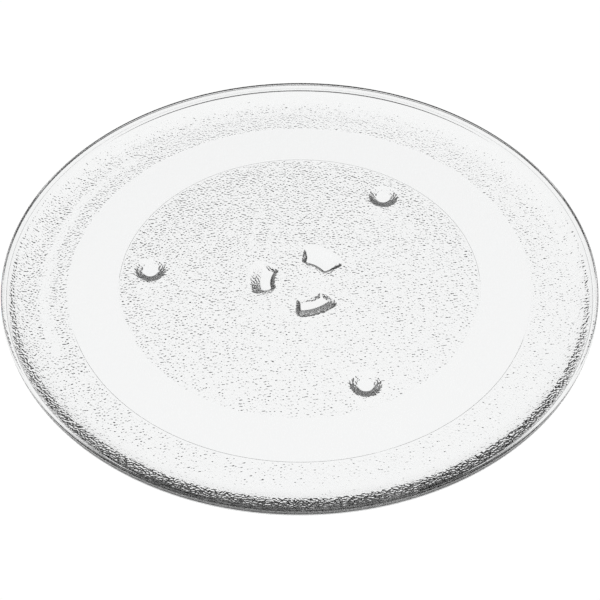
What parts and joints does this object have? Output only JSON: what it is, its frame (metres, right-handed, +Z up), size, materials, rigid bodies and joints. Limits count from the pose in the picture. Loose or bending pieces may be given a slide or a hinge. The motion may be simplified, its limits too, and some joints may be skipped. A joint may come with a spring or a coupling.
{
  "type": "microwave turntable plate",
  "caption": "Round pressed-glass turntable plate with a low raised rim, a smooth roller track, drive lugs and small feet on its textured underside.",
  "frame": {"origin": "on the plate's axis, at the level of the foot tips that it stands on", "axes": "+Z up along the axis of rotation; the first lug and foot lie along +Y"},
  "size_m": [0.245, 0.245, 0.0111],
  "materials": {
    "clear_glass": "clear pressed glass, fire-polished on top, finely pebbled underneath"
  },
  "bodies": {
    "root": {"turntable_plate": "clear_glass"}
  },
  "joints": []
}
